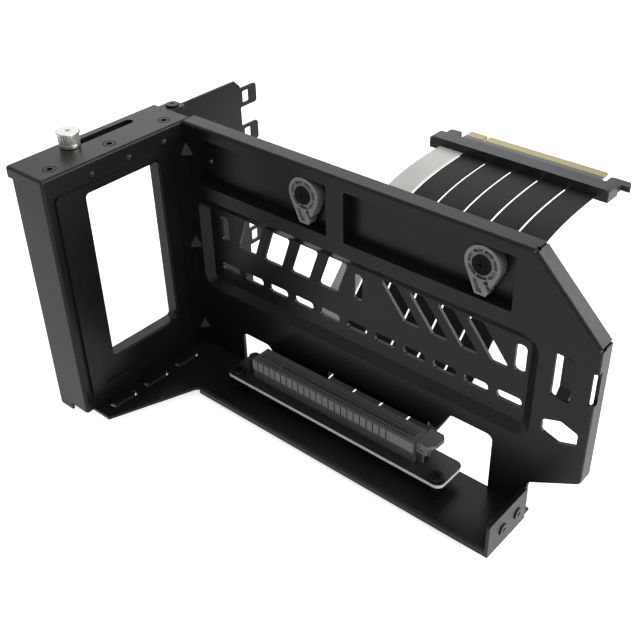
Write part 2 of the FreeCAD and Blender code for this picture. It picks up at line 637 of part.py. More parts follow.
# Main plate: one folded sheet with two drawn channels, a recessed panel and a window flange
def make_main_plate():
    body = new_body("main_plate")
    tab_right = "tray_right - gauge"
    pad(body, "plate", "XZ_Plane", "0", "gauge", [[
        ("0", "0"), ("top_flange_end", "0"), ("plate_right", "-slant_drop"),
        ("plate_right", "-right_edge_drop"), (tab_right, "-foot_drop", "foot_corner"),
        (tab_right, "-floor_drop"), ("0", "-floor_drop")]])
    seam = "seam / 2"
    run = "(plate_right - top_flange_end)"
    slant = "sqrt(%s * %s + slant_drop * slant_drop)" % (run, run)
    drop_x = "(gauge * slant_drop / %s)" % slant
    drop_z = "(gauge * %s / %s)" % (run, slant)
    low_x = "top_flange_end + 2 * seam"
    low_z = "-2 * seam * slant_drop / %s" % run
    end_x = "plate_right - 2 * seam * %s / slant_drop" % run
    end_z = "-slant_drop + 2 * seam"
    pad(body, "flanges", "XZ_Plane", "0", "flange_depth", [
        box_outline("0", "top_flange_end - " + seam, "-gauge", "0"),
        [(low_x, low_z), (end_x, end_z), (end_x + " - " + drop_x, end_z + " - " + drop_z),
         (low_x + " - " + drop_x, low_z + " - " + drop_z)],
        [("plate_right - gauge", "-right_edge_drop"), ("plate_right", "-right_edge_drop"),
         ("plate_right", "-slant_drop - 2 * seam"), ("plate_right - gauge", "-slant_drop - 2 * seam")]])
    pad(body, "window_flange", "YZ_Plane", "0", "gauge", [
        box_outline("-window_flange_reach", "gauge", "-window_flange_bottom", "-window_flange_top",
                    "window_corner")])
    bends = [(("0", "0", "0"), (1, 0, 0)),
             ((low_x, "0", low_z), (value(run), 0, -value("slant_drop"))),
             (("plate_right", "0", "-slant_drop"), (0, 0, 1))]
    dress(body, "Fillet", "bends", "bend_radius", bends)
    pocket(body, "reliefs", "XZ_Plane", "0", "2 * gauge", [
        ("circle", "plate_right - relief_radius / 2", "-slant_drop - relief_radius / 2",
         "relief_radius"),
        ("circle", "top_flange_end", "-relief_radius / 2", "relief_radius")])
    grow = ("(gauge * (sqrt(1 + panel_slope * panel_slope / panel_depth / panel_depth)"
            " - panel_slope / panel_depth))")
    angle = "-atan(panel_slope / panel_depth)"
    pad(body, "panel_back", "XZ_Plane", "gauge", "gauge + panel_depth", [
        box_outline("panel_left - " + grow, "panel_right + " + grow, "-panel_bottom - " + grow,
                    "-panel_top + " + grow, "panel_corner + " + grow)], angle)
    for side in ("left", "right"):
        start = side + "_channel_start"
        end = side + "_channel_end"
        pad(body, side + "_channel_back", "XZ_Plane", "gauge", "gauge + channel_depth", [
            box_outline(start + " - gauge", end + " + gauge", "-channel_bottom - gauge",
                        "-channel_top + gauge", "channel_corner + gauge")], "-channel_draft")
    pocket(body, "panel", "XZ_Plane", "0", "panel_depth", [
        box_outline("panel_left", "panel_right", "-panel_bottom", "-panel_top", "panel_corner")], angle)
    for side in ("left", "right"):
        pocket(body, side + "_channel", "XZ_Plane", "0", "channel_depth", [
            box_outline(side + "_channel_start", side + "_channel_end", "-channel_bottom",
                        "-channel_top", "channel_corner")], "-channel_draft")

    pocket(body, "cam_bolt_holes", "XZ_Plane", "0", "channel_depth + 2 * gauge", [
        ("circle", "cam_%s_x" % side, "-cam_drop", "cam_bolt_radius") for side in ("left", "right")])
    pocket(body, "guide_hole", "XZ_Plane", "0", "channel_depth + 2 * gauge", [
        ("circle", "guide_hole_x", "-guide_hole_drop", "guide_hole_radius")])
    floor = "panel_depth + 2 * gauge"
    for side, foot, head in (("left", "0", "left_bar_lean"), ("right", "right_bar_lean", "0")):
        low = "%s_bars_start + %s" % (side, foot)
        high = "%s_bars_start + %s" % (side, head)
        width = " + %s_bar_width" % side
        bar = pocket(body, side + "_bar", "XZ_Plane", "0", floor, [[
            (low, "-bar_bottom", "bar_corner"), (low + width, "-bar_bottom", "bar_corner"),
            (high + width, "-bar_top", "bar_corner"), (high, "-bar_top", "bar_corner")]])
        repeat(body, side + "_bars", bar, "X_Axis", side + "_bar_pitch", side + "_bar_count")
    pocket(body, "short_slots", "XZ_Plane", "0", floor, [
        box_outline("short_slot_" + place, "short_slot_%s + short_slot_width" % place,
                    "-short_slot_bottom", "-short_slot_top", "vent_corner")
        for place in ("left", "middle", "right")])
    vent = pocket(body, "vent", "XZ_Plane", "0", floor, [
        box_outline("vent_start", "vent_start + vent_length", "-vent_top - vent_height", "-vent_top",
                    "vent_corner")])
    repeat(body, "vents", vent, "X_Axis", "vent_pitch", "vent_count")
    through = "2 * gauge"
    leaf_middle = "(leaf_left + leaf_right) / 2"
    pocket(body, "side_openings", "XZ_Plane", "0", through, [
        box_outline("clip_slot_left", "clip_slot_left + clip_slot_width",
                    "-clip_slot_top - clip_slot_height", "-clip_slot_top", "bar_corner"),
        [("leaf_left", "-leaf_top - leaf_shoulder", "leaf_round"),
         ("leaf_left", "-leaf_bottom + leaf_shoulder", "leaf_round"),
         (leaf_middle, "-leaf_bottom", "leaf_round"),
         ("leaf_right", "-leaf_bottom + leaf_shoulder", "leaf_round"),
         ("leaf_right", "-leaf_top - leaf_shoulder", "leaf_round"),
         (leaf_middle, "-leaf_top", "leaf_round")]])
    top, bottom = "-clip_slot_top", "-clip_slot_top - clip_slot_height"
    near = "gauge + clip_bridge_set_back"
    far = near + " + gauge"
    pad(body, "clip_bridge", "YZ_Plane", "clip_bridge_left", "clip_bridge_right", [[
        ("gauge / 2", top), ("gauge / 2", top + " + gauge"), ("gauge", top + " + gauge"),
        (far, top + " - clip_bridge_rise + gauge / 2"), (far, bottom + " + clip_bridge_rise - gauge / 2"),
        ("gauge", bottom + " - gauge"), ("gauge / 2", bottom + " - gauge"), ("gauge / 2", bottom),
        (near, bottom + " + clip_bridge_rise"), (near, top + " - clip_bridge_rise")]])
    pocket(body, "bend_slot", "XZ_Plane", "0", through, [
        box_outline("plate_right - bend_slot_reach", "plate_right + gauge", "-bend_slot_bottom",
                    "-bend_slot_top")])
    pocket(body, "foot_opening", "XZ_Plane", "0", through, [[
        ("foot_left", "-floor_drop - gauge"), ("foot_left", "-foot_left_top", "foot_corner"),
        ("foot_left_end", "-foot_left_top", "foot_corner"),
        ("foot_left_end + foot_hidden_top - foot_left_top", "-foot_hidden_top"),
        ("foot_hidden_end", "-foot_hidden_top"), ("foot_hidden_end", "-lip_top"),
        ("foot_slant_start - foot_corner", "-lip_top"), ("foot_slant_start", "-lip_top - gauge"),
        ("foot_slant_end", "-foot_right_top", "foot_corner"), ("foot_right", "-foot_right_top",
                                                               "foot_corner"),
        ("foot_right", "-floor_drop - gauge")]])
    pad(body, "hem_web", "XZ_Plane", "gauge / 2", "2 * gauge + lip_set_back", [
        box_outline("lip_start", "lip_end", "-lip_top", "-lip_top + gauge")])
    pad(body, "hem", "XZ_Plane", "gauge + lip_set_back", "2 * gauge + lip_set_back", [
        box_outline("lip_start", "lip_end", "-lip_top - lip_height", "-lip_top + gauge")])
    pocket(body, "window", "YZ_Plane", "0", "gauge", [
        box_outline("-window_outer - window_gap", "-window_inner + window_gap",
                    "-window_bottom - window_gap", "-window_top + window_gap", "window_corner")])
    pocket(body, "pressed_field", "YZ_Plane", "gauge", "gauge - coin_depth", [
        box_outline("-coin_outer", "-coin_inner", "-coin_bottom", "-coin_top", "window_corner")])
    for number in range(3):
        tip = "-gusset_first - %d * gusset_pitch" % number
        foot = tip + " - gusset_height"
        loft(body, "gusset_%d" % (number + 1), "XY_Plane", [
            (tip, gusset_outline("gusset_tip")), (foot, gusset_outline("gusset_leg"))])
        pad(body, "gusset_lip_%d" % (number + 1), "XY_Plane", foot, foot + " - gusset_lip", [
            gusset_outline("gusset_leg")])
    pad(body, "tray_tab", "YZ_Plane", "tray_right - gauge", "tray_right - 2 * gauge", [
        box_outline("-tray_tab_width", "gauge / 2", "-floor_drop + gauge",
                    "-floor_drop + gauge + tray_tab_height",
                    "window_corner")])
    pocket(body, "tray_tab_holes", "YZ_Plane", "tray_right - 3 * gauge", "tray_right", [
        ("circle", "-end_screw_" + place, "-end_screw_drop", "end_screw_shank")
        for place in ("front", "back")])
    return body


# Window frame: a folded box sheet with a top flange, a face with the window and a side flange
def make_window_frame():
    body = new_body("window_frame")
    pad(body, "face", "YZ_Plane", "-gauge", "0", [
        box_outline("-frame_reach", "frame_rear", "-floor_drop", "0")])
    pad(body, "top", "XY_Plane", "-gauge", "0", [[
        ("0", "-frame_reach"), ("0", "frame_rear"), ("-rear_tab_right", "frame_rear"),
        ("-rear_tab_right", "rear_tab_end", "rear_tab_corner"),
        ("-rear_tab_left", "rear_tab_end", "rear_tab_corner"), ("-rear_tab_left", "frame_rear"),
        ("-frame_width", "frame_rear"), ("-frame_width", "-frame_reach")]])
    pad(body, "side", "XZ_Plane", "-frame_reach", "-frame_reach + gauge", [[
        ("0", "0"), ("0", "-floor_drop"), ("-frame_side_width", "-floor_drop"),
        ("-frame_side_width", "-frame_lip_height - gauge"),
        ("-frame_width + frame_lip_width", "-frame_lip_height"),
        ("-frame_width", "-frame_lip_height"), ("-frame_width", "0")]])
    dress(body, "Fillet", "upright_corner", "bend_radius", [(("0", "-frame_reach", "0"), (0, 0, 1))])
    dress(body, "Fillet", "top_bend", "bend_radius", [
        (("0", "0", "0"), (0, 1, 0)), (("0", "-frame_reach", "0"), (1, 0, 0))])
    pad(body, "rim", "YZ_Plane", "-gauge / 2", "-gauge - window_rim_depth", [
        box_outline("-window_outer - gauge", "-window_inner + gauge", "-window_bottom - gauge",
                    "-window_top + gauge", "window_corner + gauge")])
    pocket(body, "window", "YZ_Plane", "gauge", "-gauge - 2 * window_rim_depth", [
        box_outline("-window_outer", "-window_inner", "-window_bottom", "-window_top", "window_corner")])
    pocket(body, "travel_slot", "XY_Plane", "gauge", "-2 * gauge", [
        box_outline("-travel_slot_x - travel_slot_width / 2", "-travel_slot_x + travel_slot_width / 2",
                    "-travel_slot_front", "-travel_slot_back", "travel_slot_width / 2 - seam / 4")])
    pocket(body, "insert_seats", "XY_Plane", "gauge", "-2 * gauge", [
        ("circle", "-insert_x", "-insert_first + %d * insert_pitch" % number, "insert_radius")
        for number in range(3)])
    pocket(body, "tab_hole", "XY_Plane", "gauge", "-2 * gauge", [
        ("circle", "-(rear_tab_left + rear_tab_right) / 2", "(frame_rear + rear_tab_end) / 2",
         "end_screw_shank")])
    for number in range(3):
        middle = "(-stud_first + %d * slot_pitch)" % number
        sketch_dome(body, "dimple_%d" % (number + 1), middle)
    return body


# A locating dimple: a round dome of the face, turned about a line along x
def sketch_dome(body, name, middle):
    before = tip_volume(body)
    sketch = new_sketch(body, name + "_sketch", "XY_Plane", "-stud_drop")
    draw_outline(sketch, [
        ("-gauge / 2", middle), ("stud_height", middle), ("stud_height", middle + " + stud_radius / 3"),
        ("stud_height / 2", middle + " + 0.8 * stud_radius"), ("0", middle + " + stud_radius"),
        ("-gauge / 2", middle + " + stud_radius")])
    feature = body.newObject("PartDesign::Revolution", name)
    feature.Profile = sketch
    feature.ReferenceAxis = (sketch, ["Edge1"])
    feature.Angle = 360
    return checked(body, feature, True, before)


# Slot bracket: the rear plate that takes the place of the case's slot covers
def make_slot_bracket():
    body = new_body("slot_bracket")
    side_outer = "(frame_reach - gauge - running_gap)"
    pad(body, "plate", "YZ_Plane", "-frame_width", "-frame_width + bracket_gauge", [[
        ("-" + side_outer, "-bracket_drop"), ("hook_root", "-bracket_drop"),
        ("hook_root", "-bracket_top - hook_chamfer"),
        ("hook_root - hook_chamfer", "-bracket_top"), ("-" + side_outer, "-bracket_top")]])
    hook = pad(body, "hook", "YZ_Plane", "-frame_width", "-frame_width + bracket_gauge", [[
        ("hook_root - gauge", "-hook_first - hook_height"), ("hook_reach", "-hook_first - hook_height",
                                                             "hook_corner"),
        ("hook_reach", "-hook_first", "hook_corner"), ("hook_root - gauge", "-hook_first")]])
    repeat(body, "hooks", hook, "Z_Axis", "slot_pitch", "hook_count", True)
    slot = pocket(body, "hook_slot", "YZ_Plane", "-frame_width - gauge", "-frame_width + 2 * gauge", [
        box_outline("hook_root + gauge", "hook_root + gauge + hook_window_width",
                    "-hook_first - (hook_height + hook_window_height) / 2",
                    "-hook_first - (hook_height - hook_window_height) / 2", "hook_corner / 2")])
    repeat(body, "hook_slots", slot, "Z_Axis", "slot_pitch", "hook_count", True)
    pocket(body, "window", "YZ_Plane", "-frame_width - gauge", "-frame_width + 2 * gauge", [
        box_outline("-bracket_window_outer", "bracket_window_inner", "-bracket_window_bottom",
                    "-bracket_window_top", "window_corner")])
    pad(body, "side", "XZ_Plane", "-" + side_outer, "-%s + bracket_gauge" % side_outer, [
        box_outline("-frame_width", "-frame_width + bracket_flange_width", "-bracket_drop",
                    "-bracket_top")])
    shelf_top = "(gauge + running_gap)"
    pad(body, "shelf", "XY_Plane", "-%s - bracket_gauge" % shelf_top, "-" + shelf_top, [
        box_outline("-frame_width", "-frame_width + bracket_shelf_width", "-bracket_shelf_front",
                    "-bracket_shelf_back")])
    pad(body, "shelf_web", "YZ_Plane", "-frame_width", "-frame_width + bracket_gauge", [
        box_outline("-bracket_shelf_front", "-bracket_shelf_back", "-2 * bracket_top", "-" + shelf_top)])
    pocket(body, "screw_hole", "YZ_Plane", "-frame_width - gauge", "-frame_width + 2 * gauge", [
        ("circle", "-bracket_screw_y", "-bracket_screw_drop", "end_screw_shank")])
    pocket(body, "screw_seat", "YZ_Plane", "-frame_width", "-frame_width + bracket_screw_seat", [
        ("circle", "-bracket_screw_y", "-bracket_screw_drop", "bracket_screw_head + running_gap / 2")])
    pocket(body, "shelf_hole", "XY_Plane", "0", "-2 * bracket_top", [
        ("circle", "-thumb_x", "-thumb_y", "thumb_shank_radius + running_gap")])
    return body


# Riser tray: a folded sheet with a front lip, an end flange and three tongue slots
def make_riser_tray():
    body = new_body("riser_tray")
    pad(body, "floor", "XY_Plane", "-floor_drop - gauge", "-floor_drop", [[
        ("-gauge", "-window_flange_reach"), ("tray_shoulder", "-window_flange_reach"),
        ("tray_lip_start - gauge", "-tray_front - gauge"), ("tray_lip_start", "-tray_front"),
        ("tray_right", "-tray_front"), ("tray_right", "gauge"), ("-gauge", "gauge")]])
    pad(body, "front_lip", "XZ_Plane", "-tray_front", "-tray_front + gauge", [
        box_outline("tray_lip_start", "tray_right", "-tray_lip_drop", "-floor_drop")])
    pad(body, "end_flange", "YZ_Plane", "tray_right - gauge", "tray_right", [
        [("-tray_front", "-tray_lip_drop"), ("-gauge", "-tray_lip_drop"),
         ("-gauge", "-tray_end_top", "bend_radius"),
         ("-tray_front", "-tray_end_top", "bend_radius")]])
    dress(body, "Fillet", "lip_bend", "bend_radius", [(("0", "-tray_front", "-floor_drop"), (1, 0, 0))])
    slot = pocket(body, "tongue_slot", "XY_Plane", "-floor_drop", "-floor_drop - 2 * gauge", [
        box_outline("tongue_slot_left", "tongue_slot_left + tongue_slot_width", "-tongue_slot_first",
                    "-tongue_slot_first + tongue_slot_length", "bend_radius")])
    repeat(body, "tongue_slots", slot, "Y_Axis", "slot_pitch", "3")
    near, far = "-tongue_slot_first + tongue_end", "-tongue_slot_first + tongue_slot_length - tongue_end"
    strip = pad(body, "tongue", "XY_Plane", "-floor_drop - gauge", "-floor_drop + tongue_rise", [
        box_outline("tongue_slot_left - gauge / 2", "tongue_slot_left + tongue_width", near, far,
                    "gauge / 4")])
    repeat(body, "tongues", strip, "Y_Axis", "slot_pitch", "3")
    pocket(body, "end_holes", "YZ_Plane", "tray_right - 3 * gauge", "tray_right + gauge", [
        ("circle", "-end_screw_" + place, "-end_screw_drop", "end_screw_shank")
        for place in ("front", "back")])
    return body


# Thumbscrew, its clamp block, the threaded inserts and the small screws
def make_thumbscrew():
    body = new_body("thumbscrew", "-thumb_x", "-thumb_y")
    collar = "running_gap + thumb_collar_height"
    neck = collar + " + thumb_neck_height"
    top = neck + " + thumb_head_height"
    cap = top + " - thumb_cap_height"
    turn(body, "turned", [
        ("0", "-thumb_shank_length"), ("thumb_shank_radius", "-thumb_shank_length"),
        ("thumb_shank_radius", "running_gap"), ("thumb_collar_radius", "running_gap"),
        ("thumb_collar_radius", collar), ("thumb_neck_radius", collar), ("thumb_neck_radius", neck),
        ("thumb_radius", neck), ("thumb_radius", cap), ("thumb_cap_radius", cap),
        ("thumb_cap_radius", top, "knurl_radius"), ("0", top)])
    groove = pocket(body, "knurl", "XY_Plane", cap, neck, [
        ("circle", "thumb_radius + knurl_radius / 3", "0", "knurl_radius")])
    polar(body, "knurls", groove, "Z_Axis", "knurl_count")
    cross_recess(body, top)
    pocket(body, "notches", "XY_Plane", top, cap, [
        ("circle", sign + "thumb_notch_x", sign + "thumb_notch_y",
         "thumb_notch_radius") for sign in ("", "-")])
    return body


# Cross for a screwdriver, cut down from the head's top
def cross_recess(body, top):
    arm, slot = "recess_arm", "recess_slot"
    return pocket(body, "recess", "XY_Plane", top, "(%s) - recess_depth" % top, [[
        (arm, "-" + slot), (arm, slot), (slot, slot), (slot, arm), ("-" + slot, arm), ("-" + slot, slot),
        ("-" + arm, slot), ("-" + arm, "-" + slot), ("-" + slot, "-" + slot), ("-" + slot, "-" + arm),
        (slot, "-" + arm), (slot, "-" + slot)]])


def make_clamp_block():
    body = new_body("clamp_block", "-thumb_x", "-thumb_y")
    top = "(gauge + running_gap + bracket_gauge)"
    pad(body, "block", "XY_Plane", "-%s - clamp_height" % top, "-" + top, [
        box_outline("-clamp_width / 2", "clamp_width / 2", "-clamp_length / 2", "clamp_length / 2",
                    "gauge")])
    pocket(body, "bore", "XY_Plane", "0", "-%s - 2 * clamp_height" % top, [
        ("circle", "0", "0", "thumb_shank_radius + running_gap")])
    return body


def make_thread_inserts():
    body = new_body("thread_inserts", "-insert_x", "-insert_first")
    ring = turn(body, "insert", [
        ("insert_bore", "-insert_height"), ("insert_radius", "-insert_height"), ("insert_radius", "0"),
        ("insert_bore", "0")])
    repeat(body, "inserts", ring, "Y_Axis", "insert_pitch", "3")
    return body


def make_small_screw(label, x, y, z, rotation, head, low, high, length):
    body = new_body(label, x, y, z, rotation)
    feature = turn(body, "screw", [
        ("0", "-(%s)" % length), ("end_screw_shank", "-(%s)" % length), ("end_screw_shank", low),
        (head, low),
        (head, high, "edge_break"), ("0", high)])
    return body, [feature, cross_recess(body, high)]


def make_small_screws():
    make_small_screw("rear_tab_screw", "-(rear_tab_left + rear_tab_right) / 2",
                     "(frame_rear + rear_tab_end) / 2", "0", None, "tab_screw_head", "0", "tab_screw_height",
                     "gauge")
    make_small_screw("bracket_screw", "-frame_width", "-bracket_screw_y", "-bracket_screw_drop", AGAINST_X,
                     "bracket_screw_head", "-bracket_screw_seat", "0", "3 * bracket_gauge")
    for place in ("front", "back"):
        make_small_screw("end_screw_" + place, "tray_right", "-end_screw_" + place, "-end_screw_drop",
                         ALONG_X, "end_screw_head", "0", "end_screw_height", "3 * gauge")
    body, features = make_small_screw("board_screws", "spacer_left_x", "-spacer_y", "-board_top", None,
                                      "board_screw_head", "0", "board_screw_height", "3 * gauge")
    repeat(body, "pair", features, "X_Axis", "spacer_right_x - spacer_left_x", "2")


# A cam in each channel, swinging on its bolt
def make_cam(side):
    body = new_body("cam_" + side, "cam_%s_x" % side, "channel_depth - running_gap", "-cam_drop")
    lean = "((cam_head_radius - cam_tip_width / 2) / cam_length)"
    upright = "sqrt(1 - %s * %s)" % (lean, lean)
    head_x, head_z = "cam_head_radius * " + upright, "cam_head_radius * " + lean
    pad(body, "head", "XZ_Plane", "0", "-cam_thickness", [("circle", "0", "0", "cam_head_radius")])
    pad(body, "arm", "XZ_Plane", "0", "-cam_thickness", [[
        ("-" + head_x, "-" + head_z), ("-cam_tip_width / 2", "-cam_length"),
        ("cam_tip_width / 2", "-cam_length"),
        (head_x, "-" + head_z)]])
    pocket(body, "bore", "XZ_Plane", "gauge", "-2 * cam_thickness", [
        ("circle", "0", "0", "cam_bore_radius")])
    floor = "-cam_thickness + cam_pocket_depth"
    pocket(body, "ring", "XZ_Plane", "-cam_thickness", floor, [
        ("circle", "0", "0", "cam_ring_outer"), ("circle", "0", "0", "cam_ring_inner")])
    rib = pad(body, "rib", "XZ_Plane", floor + " + cam_rib / 4", "-cam_thickness + cam_rib / 4", [
        box_outline("-cam_rib / 2", "cam_rib / 2", "cam_ring_inner - cam_rib / 4",
                    "cam_ring_outer + cam_rib / 4")])
    polar(body, "ribs", rib, "Y_Axis", "cam_rib_count")
    pocket(body, "long_pocket", "XZ_Plane", "-cam_thickness", floor, [[
        ("-cam_pocket_side", "-cam_pocket_top", "cam_rib / 2"),
        ("-cam_pocket_side - cam_rib / 2 + cam_pocket_lean", "-cam_length + cam_rib", "cam_rib / 2"),
        ("cam_rib", "-cam_length + cam_rib", "cam_rib / 2"),
        ("-cam_pocket_side + cam_pocket_width", "-cam_pocket_top", "cam_rib / 2")]])
    pocket(body, "notch_eye", "XZ_Plane", "gauge", "-2 * cam_thickness", [
        ("circle", "cam_notch_x", "-cam_notch_drop", "cam_notch_radius")])
    pocket(body, "notch", "XZ_Plane", "gauge", "-2 * cam_thickness", [[
        ("cam_notch_x - cam_notch_width / 2", "-cam_notch_drop"),
        ("cam_notch_x + cam_notch_width / 2", "-cam_notch_drop"),
        ("cam_head_radius", "-cam_length + cam_rib"), ("cam_head_radius - 2 * cam_notch_width",
                                                       "-cam_length"),
        ("cam_notch_x + cam_notch_width / 2", "-cam_notch_drop - 3 * cam_notch_width")]])
    bolt = new_body("cam_bolt_" + side, "cam_%s_x" % side, "channel_depth", "-cam_drop", AGAINST_Y)
    seat = "cam_thickness + 2 * running_gap"
    turn(bolt, "turned", [
        ("0", "-gauge - cam_nut_height"), ("cam_bolt_radius", "-gauge - cam_nut_height"),
        ("cam_bolt_radius", seat), ("cam_bolt_head_radius", seat),
        ("cam_bolt_head_radius", seat + " + cam_bolt_head_height / 2"),
        ("cam_bolt_radius + edge_break", seat + " + cam_bolt_head_height / 2"),
        ("cam_bolt_radius + edge_break", seat + " + cam_bolt_head_height", "edge_break"),
        ("0", seat + " + cam_bolt_head_height")])
    cross_recess(bolt, seat + " + cam_bolt_head_height")
    nut = new_body("cam_nut_" + side, "cam_%s_x" % side, "channel_depth + gauge", "-cam_drop")
    flat = "cam_nut_radius * sqrt(3) / 2"
    pad(nut, "nut", "XZ_Plane", "0", "cam_nut_height", [[
        ("cam_nut_radius", "0"), ("cam_nut_radius / 2", flat), ("-cam_nut_radius / 2", flat),
        ("-cam_nut_radius", "0"), ("-cam_nut_radius / 2", "-" + flat), ("cam_nut_radius / 2", "-" + flat)]])
    pocket(nut, "bore", "XZ_Plane", "-gauge", "2 * cam_nut_height", [
        ("circle", "0", "0", "cam_bolt_radius")])


# Riser board with its spacers
def make_riser_board():
    body = new_body("riser_board")
    corner = "board_corner"
    pad(body, "board", "XY_Plane", "-board_top - board_thickness", "-board_top", [[
        ("board_left", "-board_front", corner), ("board_right", "-board_front", corner),
        ("board_right", "-board_back", corner), ("board_tail_right", "-board_back"),
        ("board_tail_right", "board_tail"), ("board_tail_left", "board_tail"),
        ("board_tail_left", "-board_back"), ("board_left", "-board_back", corner)]])
    pocket(body, "holes", "XY_Plane", "-board_top + gauge", "-board_top - 2 * board_thickness", [
        ("circle", "spacer_%s_x" % side, "-spacer_y", "end_screw_shank") for side in ("left", "right")])
    post = new_body("board_post", "post_x", "-post_y", "-board_top")
    turn(post, "post", [
        ("0", "0"), ("post_radius", "0"), ("post_radius", "post_height", "edge_break"),
        ("0", "post_height")])
    spacers = new_body("board_spacers", "spacer_left_x", "-spacer_y", "-floor_drop")
    height = "floor_drop - board_top - board_thickness"
    spacer = turn(spacers, "spacer", [
        ("end_screw_shank", "0"), ("spacer_base_radius", "0"), ("spacer_base_radius", "spacer_base_height"),
        ("spacer_radius", "spacer_base_height"), ("spacer_radius", height), ("end_screw_shank", height)])
    repeat(spacers, "pair", spacer, "X_Axis", "spacer_right_x - spacer_left_x", "2")
    return body


# Card slot: a long moulded housing with a split gap, moulded cells and two cheeks for the latch
def make_slot_housing():
    body = new_body("slot_housing")
    right = "(socket_left + socket_length)"
    top = "(-board_top + socket_height)"
    front, back = "-socket_front", "(-socket_front + socket_width)"
    pad(body, "block", "XY_Plane", "-board_top", top, [box_outline("socket_left", right, front, back)])
    dress(body, "Chamfer", "top_edges", "card_top_chamfer", [
        (("0", front, top), (1, 0, 0)), (("0", back, top), (1, 0, 0))])
    key_end = "socket_left + card_key_start + card_key_width"
    low, high = "-card_gap_y - card_gap_width / 2", "-card_gap_y + card_gap_width / 2"
    pocket(body, "card_gap", "XY_Plane", top, top + " - card_gap_depth", [
        box_outline("socket_left + card_gap_start", "socket_left + card_key_start", low, high),
        box_outline(key_end, right + " - card_gap_start", low, high)])
    pocket(body, "top_grooves", "XY_Plane", top, top + " - top_groove_size", [
        box_outline("socket_left + card_gap_start", right + " - card_gap_start", "-top_groove_%s" % side,
                    "-top_groove_%s + top_groove_size" % side) for side in ("front", "back")])
    pocket(body, "base_band", "XZ_Plane", front, front + " + base_depth", [
        box_outline("socket_left - gauge", right + " + gauge", "-board_top - gauge",
                    "-board_top + base_height")])
    groove = pocket(body, "cell_groove", "XZ_Plane", front, front + " + cell_depth", [
        box_outline("socket_left + cell_pitch - cell_gap", "socket_left + cell_pitch",
                    "-board_top + base_height - gauge", "-board_top + base_height + cell_height")])
    repeat(body, "cell_grooves", groove, "X_Axis", "cell_pitch", "cell_count")
    middle = "(-socket_front + socket_width / 2)"
    for name, near, far in (
            ("front_cheek", middle + " - latch_stem_half - cheek_thickness", middle + " - latch_stem_half"),
            ("rear_cheek", middle + " + latch_stem_half", middle + " + latch_stem_half + cheek_thickness")):
        pad(body, name, "XZ_Plane", near, far, [
            [(right + " - gauge", "-board_top"), (right + " + cheek_length", "-board_top"),
             (right + " + cheek_length", "-board_top + cheek_height", "gauge"),
             (right + " - gauge", "-board_top + cheek_height")]])
    pocket(body, "pin_holes", "XZ_Plane", front, back, [
        ("circle", "latch_pin_x", "-latch_pin_drop", "latch_pin_radius + running_gap")])
    return body


def make_slot_latch():
    body = new_body("slot_latch", "latch_pin_x", "-socket_front + socket_width / 2", "-latch_pin_drop")
    middle = "(-socket_front + socket_width / 2)"
    half = "(latch_stem_half - running_gap)"
    low, high = "(latch_pin_drop - latch_low)", "(latch_pin_drop - latch_high)"
    left, right = "(latch_left - latch_pin_x)", "(latch_right - latch_pin_x)"
    front, back = "(-latch_front - %s)" % middle, "(-latch_back - %s)" % middle
    pad(body, "stem", "XZ_Plane", "-" + half, half, [box_outline(
        "-latch_stem", "latch_stem", "-(board_top - latch_pin_drop - latch_foot_gap)",
        low + " + edge_break")])
    pad(body, "block", "XZ_Plane", front, back, [box_outline(left, right, low, high)])
    pad(body, "pins", "XZ_Plane", "-latch_stem_half - cheek_thickness",
        "latch_stem_half + cheek_thickness", [
        ("circle", "0", "0", "latch_pin_radius")])
    nose, shoulder = "latch_nose - latch_pin_x", "latch_shoulder - latch_pin_x"
    pad(body, "thumb_plate", "XY_Plane", high + " - latch_plate", high, [[
        (left, front + " + edge_break"), (right, front + " + edge_break"),
        (nose + " - edge_break", "0", "latch_stem"), (nose, back, "latch_stem"),
        (shoulder, "-latch_plate_back - " + middle, "latch_stem"), (left, "-latch_plate_back - " + middle)]])
    pocket(body, "front_pocket", "XZ_Plane", front, front + " + latch_pocket_depth", [box_outline(
        left + " + latch_pocket_wall", right + " - latch_pocket_wall", low + " + latch_pocket_wall",
        high + " - latch_pocket_wall")])
    return body


# Contacts: small blades that stand in the card gap, a row along each wall
def make_slot_contacts():
    body = new_body("slot_contacts")
    top = "(-board_top + socket_height)"
    middle = "-card_gap_y"
    low = top + " - card_gap_depth"
    start = "(socket_left + card_key_start + card_key_width + contact_width)"
    blades = []
    for sign in ("-", "+"):
        wall = "%s %s card_gap_width / 2" % (middle, sign)
        inner = "%s %s (card_gap_width / 2 - contact_depth)" % (middle, sign)
        sides = (wall, inner) if sign == "-" else (inner, wall)
        blades.append(box_outline(start, start + " + contact_width", *sides))
    first = pad(body, "blades", "XY_Plane", low, low + " + contact_height", blades)
    repeat(body, "rows", first, "X_Axis", "contact_pitch", "contact_count")
    return body


